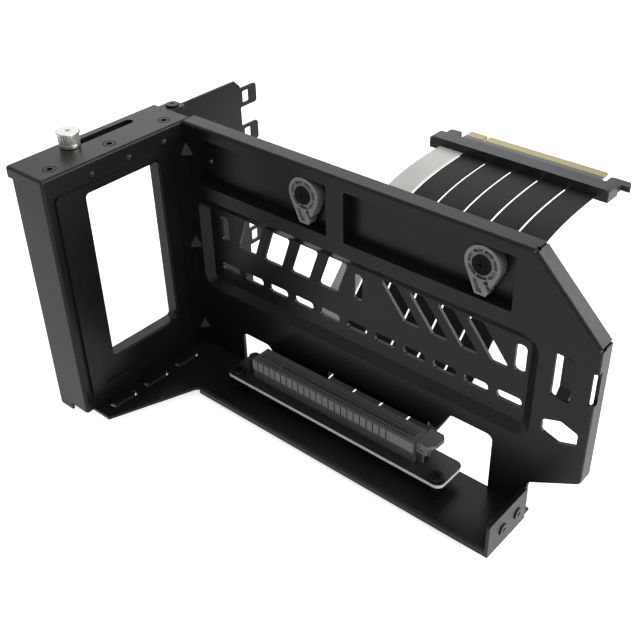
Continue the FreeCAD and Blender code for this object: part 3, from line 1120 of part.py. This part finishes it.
# Edge connector at the far end of the ribbons
def make_edge_connector():
    housing = new_body("edge_connector_housing")
    edge_low = "-edge_drop - board_thickness"
    pad(housing, "block", "XY_Plane", "-plug_bottom", "-plug_top - plug_step", [
        box_outline("plug_left", "plug_right", "plug_start", "plug_end", "gauge / 2")])
    pad(housing, "rise", "XY_Plane", "-plug_top - plug_step - gauge / 2", "-plug_top", [
        box_outline("plug_left + gauge", "plug_right - gauge", "plug_start", "plug_start + plug_step_width",
                    "gauge / 2")])
    pad(housing, "left_lug", "XY_Plane", "-plug_bottom + gauge", "-plug_top - plug_step", [
        [("ear_left_start", "plug_end - gauge"), ("ear_left_end", "plug_end - gauge"),
         ("ear_left_end", "plug_end + ear_left_reach", "gauge"),
         ("ear_left_start", "plug_end + ear_left_reach", "gauge")]])
    pocket(housing, "edge_seat", "XY_Plane", "-edge_drop", edge_low, [
        box_outline("edge_left", "edge_right", "plug_end - edge_inset", "plug_end + gauge")])
    board = new_body("edge_board")
    pad(board, "board", "XY_Plane", edge_low, "-edge_drop", [[
        ("edge_left", "plug_end - edge_inset"), ("edge_right", "plug_end - edge_inset"),
        ("edge_right", "edge_end", "gauge / 2"), ("edge_left", "edge_end", "gauge / 2")]])
    pocket(board, "key", "XY_Plane", "0", "-2 * edge_drop", [
        [("edge_key_x - edge_key_width / 2", "edge_end + gauge"),
         ("edge_key_x - edge_key_width / 2", "edge_end - edge_key_depth", "edge_key_width / 2.2"),
         ("edge_key_x + edge_key_width / 2", "edge_end - edge_key_depth", "edge_key_width / 2.2"),
         ("edge_key_x + edge_key_width / 2", "edge_end + gauge")]])
    hook = new_body("lock_hook")
    low = "-plug_bottom + gauge"
    pad(hook, "hook", "XY_Plane", low, low + " + lock_thickness", [[
        ("lock_start", "plug_end"), ("lock_end", "plug_end"), ("lock_end", "plug_end + lock_reach / 3"),
        ("lock_end + lock_nose", "plug_end + lock_reach / 3", "gauge / 2"),
        ("lock_end + lock_nose / 2", "plug_end + lock_reach", "gauge"),
        ("lock_start", "plug_end + lock_reach", "gauge")]])


# Ribbon route in (y, z), from the edge connector to the riser board, chosen by hand
RIBBON_ROUTE = ((139.0, -50.0), (106.0, -50.0), (73.0, -62.0), (50.0, -91.0), (24.0, -113.8), (2.6, -113.8))
ARC_SHARE = 0.45
RIBBON_COUNT = 6


def ribbon_face(thickness):
    points = [FreeCAD.Vector(0, y, z) for y, z in RIBBON_ROUTE]
    side = {-1: [points[0]], 1: [points[0]]}
    across = FreeCAD.Vector(1, 0, 0)
    lines = {-1: [], 1: []}
    length = 0.0
    here = points[0]
    for i in range(1, len(points) - 1):
        come = (points[i] - points[i - 1])
        go = (points[i + 1] - points[i])
        turn_angle = come.getAngle(go)
        reach = ARC_SHARE * min(come.Length, go.Length)
        radius = reach / math.tan(turn_angle / 2)
        print("ribbon corner %d: radius %.1f mm, turn %.1f degrees" % (i, radius, math.degrees(turn_angle)))
        start = points[i] - come.normalize() * reach
        end = points[i] + go.normalize() * reach
        inward = (go - come).normalize()
        centre = points[i] + inward * (radius / math.cos(turn_angle / 2))
        middle = centre - inward * radius
        for sign in (-1, 1):
            normal_in = come.cross(across) * (sign * thickness / 2)
            normal_out = go.cross(across) * (sign * thickness / 2)
            rise = (middle - centre).normalize()
            tilt = 1 if rise.dot(come.cross(across)) * sign > 0 else -1
            bulge = centre + rise * (radius + tilt * thickness / 2)
            lines[sign].append(Part.LineSegment(here + normal_in, start + normal_in).toShape())
            lines[sign].append(Part.Arc(start + normal_in, bulge, end + normal_out).toShape())
        length += (start - here).Length + radius * turn_angle
        here = end
    last = (points[-1] - here)
    length += last.Length
    last.normalize()
    for sign in (-1, 1):
        normal = last.cross(across) * (sign * thickness / 2)
        lines[sign].append(Part.LineSegment(here + normal, points[-1] + normal).toShape())
    ends = [Part.LineSegment(lines[-1][place].Vertexes[vertex].Point,
                             lines[1][place].Vertexes[vertex].Point).toShape()
            for place, vertex in ((0, 0), (-1, -1))]
    wire = Part.Wire(Part.__sortEdges__(lines[-1] + lines[1] + ends))
    return Part.Face(wire), length


def make_ribbons():
    thickness, width = value("ribbon_thickness"), value("ribbon_width")
    face, length = ribbon_face(thickness)
    print("ribbon length %.1f mm" % length)
    for number in range(RIBBON_COUNT):
        left = value("ribbon_left + %d * ribbon_pitch" % number)
        ribbon = doc.addObject("Part::Feature", "ribbon_%d" % (number + 1))
        ribbon.Label = "ribbon_%d" % (number + 1)
        ribbon.Shape = face.extrude(FreeCAD.Vector(width, 0, 0))
        expected = width * thickness * length
        if abs(ribbon.Shape.Volume - expected) > 0.01 * expected:
            raise RuntimeError("a ribbon is not its section times its length")
        shift = [left + value(SHIFT_X), value(SHIFT_Y), value(SHIFT_Z)]
        ribbon.Placement = FreeCAD.Placement(FreeCAD.Vector(*shift), FreeCAD.Rotation())


make_main_plate()
make_window_frame()
make_slot_bracket()
make_riser_tray()
make_thumbscrew()
make_clamp_block()
make_thread_inserts()
make_small_screws()
for side in ("left", "right"):
    make_cam(side)
make_riser_board()
make_slot_housing()
make_slot_latch()
make_slot_contacts()
make_edge_connector()
make_ribbons()

doc.recompute()
for thing in doc.Objects:
    if "Invalid" in thing.State or "Error" in thing.State:
        raise RuntimeError("%s failed: %s" % (thing.Name, thing.State))

pieces = [thing for thing in doc.Objects
          if thing.TypeId == "PartDesign::Body" or thing.Name.startswith("ribbon_")]
for piece in pieces:
    if piece.Shape.isNull() or not piece.Shape.isValid():
        raise RuntimeError("%s has no valid shape" % piece.Label)

os.makedirs("parts", exist_ok=True)
for piece in pieces:
    piece.Shape.exportStep("parts/%s.step" % piece.Label)
    print(piece.Label, round(piece.Shape.Volume, 1), len(piece.Shape.Solids))
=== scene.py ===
import json
import math
import bmesh
import bpy
from mathutils import Matrix, Vector


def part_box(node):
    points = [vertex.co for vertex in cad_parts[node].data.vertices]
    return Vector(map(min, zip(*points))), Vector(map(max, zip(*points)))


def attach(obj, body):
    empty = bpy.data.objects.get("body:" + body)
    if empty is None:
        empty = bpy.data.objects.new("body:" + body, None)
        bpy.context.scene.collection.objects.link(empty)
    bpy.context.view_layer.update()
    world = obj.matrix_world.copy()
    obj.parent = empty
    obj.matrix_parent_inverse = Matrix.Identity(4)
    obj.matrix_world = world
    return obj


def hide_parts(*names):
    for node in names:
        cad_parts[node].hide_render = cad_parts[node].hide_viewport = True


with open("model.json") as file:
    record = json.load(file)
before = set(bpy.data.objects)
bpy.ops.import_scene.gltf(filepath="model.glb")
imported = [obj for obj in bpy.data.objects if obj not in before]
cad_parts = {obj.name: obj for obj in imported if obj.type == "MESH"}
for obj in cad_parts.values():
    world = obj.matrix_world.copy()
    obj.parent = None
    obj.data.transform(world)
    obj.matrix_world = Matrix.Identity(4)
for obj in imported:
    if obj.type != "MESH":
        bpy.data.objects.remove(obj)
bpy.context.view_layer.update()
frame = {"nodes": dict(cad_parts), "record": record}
MM = 0.001
FLOOR_GLOW = 0.80
ROOM_LIGHT = 0.20

# The camera stands where the photograph was taken from, to the right, in front and above
CAMERA_PLACE = Vector((0.22633, -0.26897, 0.30694))
CAMERA_TURN = math.radians(41.492)
CAMERA_TILT = math.radians(34.926)
CAMERA_ROLL = math.radians(-1.530)
LENS = 55.35
SENSOR = 36.0


def make_camera():
    data = bpy.data.cameras.new("camera")
    data.lens, data.sensor_width = LENS, SENSOR
    data.clip_start, data.clip_end = 0.01, 20.0
    camera = bpy.data.objects.new("camera", data)
    bpy.context.scene.collection.objects.link(camera)
    back = Vector((math.sin(CAMERA_TURN) * math.cos(CAMERA_TILT),
                   -math.cos(CAMERA_TURN) * math.cos(CAMERA_TILT), math.sin(CAMERA_TILT)))
    level = Vector((math.cos(CAMERA_TURN), math.sin(CAMERA_TURN), 0.0))
    upright = back.cross(level)
    right = math.cos(CAMERA_ROLL) * level + math.sin(CAMERA_ROLL) * upright
    up = back.cross(right)
    turn = Matrix((right, up, back)).transposed().to_4x4()
    camera.matrix_world = Matrix.Translation(CAMERA_PLACE) @ turn
    bpy.context.scene.camera = camera


# A shader socket that can be added, multiplied and compared like a number
class Socket:
    def __init__(self, tree, link):
        self.tree, self.link = tree, link

    def scalar(self, operation, first, second=None):
        return node(self.tree, "ShaderNodeMath", {"operation": operation}, _0=first, _1=second)

    def __add__(self, other): return self.scalar("ADD", self, other)
    def __radd__(self, other): return self.scalar("ADD", other, self)
    def __sub__(self, other): return self.scalar("SUBTRACT", self, other)
    def __rsub__(self, other): return self.scalar("SUBTRACT", other, self)
    def __mul__(self, other): return self.scalar("MULTIPLY", self, other)
    def __rmul__(self, other): return self.scalar("MULTIPLY", other, self)
    def __truediv__(self, other): return self.scalar("DIVIDE", self, other)
    def __rtruediv__(self, other): return self.scalar("DIVIDE", other, self)
    def __gt__(self, other): return self.scalar("GREATER_THAN", self, other)
    def __lt__(self, other): return self.scalar("LESS_THAN", self, other)
    def __abs__(self): return self.scalar("ABSOLUTE", self)

    def remap(self, low, high, to_low, to_high):
        return node(self.tree, "ShaderNodeMapRange", {"clamp": True}, Value=self, From_Min=low,
                    From_Max=high, To_Min=to_low, To_Max=to_high)

    def blend(self, first, second):
        return node(self.tree, "ShaderNodeMix", {"data_type": "RGBA"}, 2, _0=self, _6=first, _7=second)

    def part(self, axis):
        return node(self.tree, "ShaderNodeSeparateXYZ", out=axis, Vector=self)


# One node of a tree: its settings first, then values or links for its inputs, by name or by _number
def node(tree, kind, settings=None, out=0, **values):
    made = tree.nodes.new(kind)
    for key, setting in (settings or {}).items():
        setattr(made, key, setting)
    for key, given in values.items():
        if given is None:
            continue
        socket = made.inputs[int(key[1:])] if key[0] == "_" else made.inputs[key.replace("_", " ")]
        if isinstance(given, Socket):
            tree.links.new(given.link, socket)
        else:
            socket.default_value = given
    return Socket(tree, made.outputs[out])


def grey(level, warmth=0.0):
    return (level * (1 + warmth), level, level * (1 - warmth), 1.0)


def noise(tree, place, scale, detail=2.0, roughness=0.5):
    return node(tree, "ShaderNodeTexNoise", Vector=place, Scale=scale, Detail=detail, Roughness=roughness)


class Finish:
    """A material with its shader, its object coordinates and the direction that its surface faces."""

    def __init__(self, name, **plain):
        self.material = bpy.data.materials.new(name)
        self.material.use_nodes = True
        self.tree = self.material.node_tree
        self.shader = self.tree.nodes["Principled BSDF"]
        self.place = node(self.tree, "ShaderNodeTexCoord", out="Object")
        self.facing = node(self.tree, "ShaderNodeNewGeometry", out="Normal")
        for key, given in plain.items():
            self.shader.inputs[key.replace("_", " ")].default_value = given

    def noise(self, scale, detail=2.0, stretch=None):
        place = self.place
        if stretch:
            place = node(self.tree, "ShaderNodeMapping", Vector=place, Scale=stretch)
        return noise(self.tree, place, scale, detail)

    def feed(self, **links):
        for key, given in links.items():
            self.tree.links.new(given.link, self.shader.inputs[key.replace("_", " ")])
        return self.material

    def bump(self, height, strength, distance):
        return node(self.tree, "ShaderNodeBump", Height=height, Strength=strength, Distance=distance)


# Black powder coat: a fine pebbled skin, a little thinner and glossier where it has flowed out
def powder_coat():
    finish = Finish("black_powder_coat", Specular_IOR_Level=0.17)
    pebbles, clouds = finish.noise(2400.0, 3.0), finish.noise(28.0, 3.0)
    return finish.feed(
        Base_Color=clouds.remap(0.3, 0.7, 0, 1).blend(grey(0.0042), grey(0.0066)),
        Roughness=pebbles.remap(0.3, 0.7, 0.28, 0.40) + clouds.remap(0.3, 0.7, -0.03, 0.03),
        Normal=finish.bump(pebbles, 0.16, 0.00004))


# Moulded plastic, lacquer or oxide in one tone with a faint mottle and grain
def moulded(name, low, high, roughness, grain=1400.0, depth=0.15, warmth=0.0, **plain):
    finish = Finish(name, **plain)
    fine, broad = finish.noise(grain), finish.noise(60.0)
    return finish.feed(
        Base_Color=broad.remap(0.35, 0.65, 0, 1).blend(grey(low, warmth), grey(high, warmth)),
        Roughness=fine.remap(0.3, 0.7, roughness - 0.05, roughness + 0.05),
        Normal=finish.bump(fine, depth, 0.00005))


# Plated metal with fine turning marks round its upright axis
def plated(name, low, high, roughness):
    finish = Finish(name, Metallic=1.0)
    marks = finish.noise(900.0, 2.0, (1.0, 1.0, 4.0))
    return finish.feed(Base_Color=marks.blend(low, high),
                       Roughness=marks.remap(0.3, 0.7, roughness - 0.07, roughness + 0.07),
                       Normal=finish.bump(marks, 0.03, 0.00002))


# Riser board: black lacquer above and below, the pale laminate bare along its sawn edges
def lacquered_board():
    finish = Finish("riser_laminate", Specular_IOR_Level=0.2)
    fine, broad = finish.noise(1600.0), finish.noise(45.0)
    edge = abs(finish.facing.part(2)) < 0.5
    face = broad.blend(grey(0.010, 0.03), grey(0.015, 0.03))
    sawn = fine.blend(grey(0.62, 0.05), grey(0.74, 0.06))
    return finish.feed(Base_Color=edge.blend(face, sawn),
                       Roughness=edge * 0.25 + fine.remap(0.3, 0.7, 0.33, 0.42),
                       Normal=finish.bump(fine, 0.15, 0.00004))


# Edge board: plated fingers a millimetre apart on olive laminate, with a dark strip next to the housing
FINGER_PITCH = 1.0 * MM
FINGER_SHARE = 0.70
FINGER_LENGTH = 5.6 * MM


def gold_fingers():
    finish = Finish("gold_fingers")
    strip_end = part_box("edge_board")[1][1] - FINGER_LENGTH
    fine = finish.noise(1200.0)
    along, out = finish.place.part(0), finish.place.part(1)
    count = along / FINGER_PITCH
    finger = count.scalar("FRACT", count) < FINGER_SHARE
    beyond = out > strip_end
    flat = abs(finish.facing.part(2)) > 0.5
    plated_part = finger * beyond * flat
    laminate = flat.blend((0.16, 0.14, 0.06, 1), (0.085, 0.078, 0.035, 1))
    ground = beyond.blend((0.018, 0.018, 0.020, 1), laminate)
    gold = fine.blend((0.27, 0.23, 0.105, 1), (0.36, 0.31, 0.15, 1))
    return finish.feed(Base_Color=plated_part.blend(ground, gold), Metallic=plated_part * 0.9,
                       Roughness=fine.remap(0.3, 0.7, 0.30, 0.42),
                       Normal=finish.bump(plated_part * 0.6 + fine * 0.1, 0.3, 0.00004))


# Card slot: dark moulding, with a painted highlight on the front faces of each raised cell along the
# front
CELLS_LOW = 5.6 * MM
CELLS_HIGH = 10.7 * MM


def slot_moulding():
    finish = Finish("slot_moulding", Specular_IOR_Level=0.25)
    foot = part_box("slot_housing")[0][2]
    fine, broad = finish.noise(1500.0), finish.noise(70.0)
    height = finish.place.part(2)
    # Painted highlight: only the forward-facing faces of each raised cell get a lighter grey
    cell_highlight_mask = (finish.facing.part(1) < -0.5) * (height > foot + CELLS_LOW) * (height < foot + CELLS_HIGH)
    body = broad.blend(grey(0.060), grey(0.078))
    painted_cell_highlight = fine.blend(grey(0.200), grey(0.235))
    return finish.feed(Base_Color=cell_highlight_mask.blend(body, painted_cell_highlight), Roughness=fine.remap(0.3, 0.7, 0.38, 0.50),
                       Normal=finish.bump(fine, 0.15, 0.00005))


# Ribbon cable: extruded insulation with a faint ripple along it and creases across it
def ribbon_skin(name, low, high, roughness, crease, warmth=0.0):
    finish = Finish(name, Specular_IOR_Level=0.12)
    fine = finish.noise(1500.0, 2.0)
    across = finish.noise(120.0, 3.0, (0.35, 1.0, 1.0))
    tone = finish.noise(40.0, 2.0)
    return finish.feed(Base_Color=tone.remap(0.3, 0.7, 0, 1).blend(grey(low, warmth), grey(high, warmth)),
                       Roughness=fine.remap(0.3, 0.7, roughness - 0.06, roughness + 0.06),
                       Normal=finish.bump(across + fine * 0.15, crease, 0.0004))


make_camera()
MATERIALS = {
    "black_steel": powder_coat(),
    "bright_steel": plated("nickel", (0.40, 0.39, 0.375, 1), (0.52, 0.51, 0.49, 1), 0.34),
    "black_screw": moulded("black_oxide", 0.004, 0.007, 0.30, Specular_IOR_Level=0.15),
    "grey_plastic": moulded("cam_grey", 0.205, 0.235, 0.46, Specular_IOR_Level=0.3),
    "slot_grey": slot_moulding(),
    "black_board": lacquered_board(),
    "gold_contact": gold_fingers(),
    "black_plastic": moulded("black_plastic", 0.020, 0.027, 0.40, warmth=-0.08, Specular_IOR_Level=0.25),
    "grey_ribbon": ribbon_skin("grey_ribbon", 0.46, 0.54, 0.50, 0.30, 0.03),
    "black_ribbon": ribbon_skin("black_ribbon", 0.006, 0.009, 0.50, 0.15)}
MATERIALS["dull_black"] = moulded("dull_black", 0.003, 0.005, 0.75, Specular_IOR_Level=0.1)
CONTACT_GOLD = plated("contact_gold", (0.16, 0.13, 0.06, 1), (0.24, 0.19, 0.10, 1), 0.4)
OWN_FINISH = {"slot_contacts": CONTACT_GOLD, "thread_inserts": MATERIALS["black_screw"],
              "cam_bolt_left": MATERIALS["dull_black"], "cam_bolt_right": MATERIALS["dull_black"]}


def dress_nodes():
    slots = {part["node"]: part["material_slot"] for part in frame["record"]["subparts"]}
    for name, thing in frame["nodes"].items():
        thing.data.materials.clear()
        thing.data.materials.append(OWN_FINISH.get(name, MATERIALS[slots[name]]))


# The ribbons' shared route from the board to the edge connector, in (y, z)
RIBBON_ROUTE = ((0.00535, 0.0142), (0.02675, 0.0142), (0.05275, 0.0370), (0.07575, 0.0660),
                (0.10875, 0.0780), (0.14175, 0.0780))
RIBBON_WIDTH = 14.4 * MM
RIBBON_THICKNESS = 0.85 * MM
RIBBON_COUNT = 6
WIRES = 14


# Points along a smooth curve through the route's control points, at one x
def route_points(x):
    curve = bpy.data.curves.new("route", "CURVE")
    curve.dimensions = "3D"
    curve.resolution_u = 24
    spline = curve.splines.new("NURBS")
    spline.points.add(len(RIBBON_ROUTE) - 1)
    for point, (y, z) in zip(spline.points, RIBBON_ROUTE):
        point.co = (x, y, z, 1.0)
    spline.order_u = 3
    spline.use_endpoint_u = True
    holder = bpy.data.objects.new("route", curve)
    mesh = bpy.data.meshes.new_from_object(holder)
    points = [vertex.co.copy() for vertex in mesh.vertices]
    bpy.data.meshes.remove(mesh)
    bpy.data.objects.remove(holder)
    bpy.data.curves.remove(curve)
    return points


def add_piece(name, form, material, body="mount"):
    mesh = bpy.data.meshes.new(name)
    bmesh.ops.recalc_face_normals(form, faces=form.faces)
    form.to_mesh(mesh)
    form.free()
    mesh.materials.append(MATERIALS[material])
    mesh.shade_smooth()
    piece = bpy.data.objects.new(name, mesh)
    bpy.context.scene.collection.objects.link(piece)
    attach(piece, body)
    return piece


# A ribbon cable: a flat ribbed strip, one rib for each wire, bent along the route
def ribbon_form(path):
    form = bmesh.new()
    rows, columns = len(path) - 1, 2 * WIRES
    bmesh.ops.create_grid(form, x_segments=columns, y_segments=rows, size=0.5)
    grown = bmesh.ops.extrude_face_region(form, geom=form.faces[:])["geom"]
    upper = {part for part in grown if isinstance(part, bmesh.types.BMVert)}
    for vert in form.verts:
        number, rib = round((vert.co.y + 0.5) * rows), round((vert.co.x + 0.5) * columns)
        ahead = path[min(number + 1, rows)] - path[max(number - 1, 0)]
        rise = RIBBON_THICKNESS / 2 * (0.82 + 0.18 * (rib % 2)) * (1 if vert in upper else -1)
        across = Vector((vert.co.x * RIBBON_WIDTH, 0, 0))
        vert.co = path[number] + across + Vector((1, 0, 0)).cross(ahead.normalized()) * rise
    return form


def make_ribbons():
    for number in range(1, RIBBON_COUNT + 1):
        low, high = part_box("ribbon_%d" % number)
        middle = (low[0] + high[0]) / 2
        path = route_points(middle)
        material = "grey_ribbon" if number == 1 else "black_ribbon"
        piece = add_piece("ribbon_cable_%d" % number, ribbon_form(path), material)
        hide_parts("ribbon_%d" % number)
        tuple(path[0])
        sum((b - a).length for a, b in zip(path, path[1:]))
        [list(point) for point in path]


# Dark joints round the threaded inserts, where the coat stops
INSERT_COUNT = 3
JOINT_WIDTH = 0.45 * MM
JOINT_RISE = 0.03 * MM


def make_insert_joints():
    low, high = (Vector(corner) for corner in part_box("thread_inserts"))
    half = (high.x - low.x) / 2
    form = bmesh.new()
    for number in range(INSERT_COUNT):
        along = low.y + half + (high.y - low.y - 2 * half) * number / (INSERT_COUNT - 1)
        centre = Vector(((low.x + high.x) / 2, along, high.z + JOINT_RISE))
        inner = bmesh.ops.create_circle(form, segments=40, radius=half - JOINT_WIDTH / 2,
                                        matrix=Matrix.Translation(centre))["verts"]
        rim = list({edge for vert in inner for edge in vert.link_edges})
        grown = bmesh.ops.extrude_edge_only(form, edges=rim)["geom"]
        outer = [part for part in grown if isinstance(part, bmesh.types.BMVert)]
        spread = (half + JOINT_WIDTH / 2) / (half - JOINT_WIDTH / 2)
        bmesh.ops.scale(form, vec=(spread, spread, 1), verts=outer, space=Matrix.Translation(-centre))
    bmesh.ops.solidify(form, geom=form.faces[:], thickness=JOINT_RISE)
    add_piece("insert_joints", form, "dull_black")


# Rays that show the background: straight to the eye, or by way of a shiny or clear surface
def background_rays(tree):
    rays = [node(tree, "ShaderNodeLightPath", out=kind)
            for kind in ("Is Camera Ray", "Is Glossy Ray", "Is Transmission Ray")]
    total = rays[0] + rays[1] + rays[2]
    return total.scalar("MINIMUM", total, 1.0)


# Pale floor and a pale room: white to the eye and in reflections, soft and even as light
def make_stage():
    form = bmesh.new()
    bmesh.ops.create_grid(form, x_segments=1, y_segments=1, size=4.0)
    mesh = bpy.data.meshes.new("floor")
    form.to_mesh(mesh)
    form.free()
    floor = bpy.data.objects.new("floor", mesh)
    bpy.context.scene.collection.objects.link(floor)
    floor.location.z = -0.0005
    finish = Finish("pale_floor", Roughness=0.9, Base_Color=(0.86, 0.86, 0.86, 1))
    tree, plain = finish.tree, Socket(finish.tree, finish.shader.outputs[0])
    seen = background_rays(tree)
    glow = node(tree, "ShaderNodeEmission", Color=(1, 1, 1, 1), Strength=FLOOR_GLOW)
    lifted = node(tree, "ShaderNodeAddShader", _0=plain, _1=glow)
    chosen = node(tree, "ShaderNodeMixShader", _0=seen, _1=plain, _2=lifted)
    tree.links.new(chosen.link, tree.nodes["Material Output"].inputs["Surface"])
    mesh.materials.append(finish.material)

    world = bpy.data.worlds.new("studio")
    world.use_nodes = True
    tree = world.node_tree
    background = tree.nodes["Background"]
    background.inputs["Color"].default_value = (1, 1, 1, 1)
    seen = background_rays(tree)
    tree.links.new((seen * (1 - ROOM_LIGHT) + ROOM_LIGHT).link, background.inputs["Strength"])
    bpy.context.scene.world = world


# A soft lamp aimed at a point
def add_lamp(name, place, aim, size, power):
    data = bpy.data.lights.new(name, "AREA")
    data.size, data.energy = size, power
    lamp = bpy.data.objects.new(name, data)
    bpy.context.scene.collection.objects.link(lamp)
    lamp.location = place
    lamp.rotation_euler = (Vector(aim) - Vector(place)).to_track_quat("-Z", "Y").to_euler()


make_ribbons()
dress_nodes()
make_insert_joints()
make_stage()
add_lamp("key", (0.35, -0.25, 1.1), (0, 0, 0.06), 0.8, 6)
add_lamp("back", (-0.85, 0.95, 0.95), (0, 0, 0.08), 1.1, 5)
add_lamp("right", (1.1, 0.25, 0.40), (0.05, 0, 0.06), 0.5, 12)
add_lamp("floor_wash", (0.75, 0.75, 0.55), (0.40, 0.48, 0), 0.4, 7)
scene = bpy.context.scene
scene.view_settings.view_transform = "Standard"
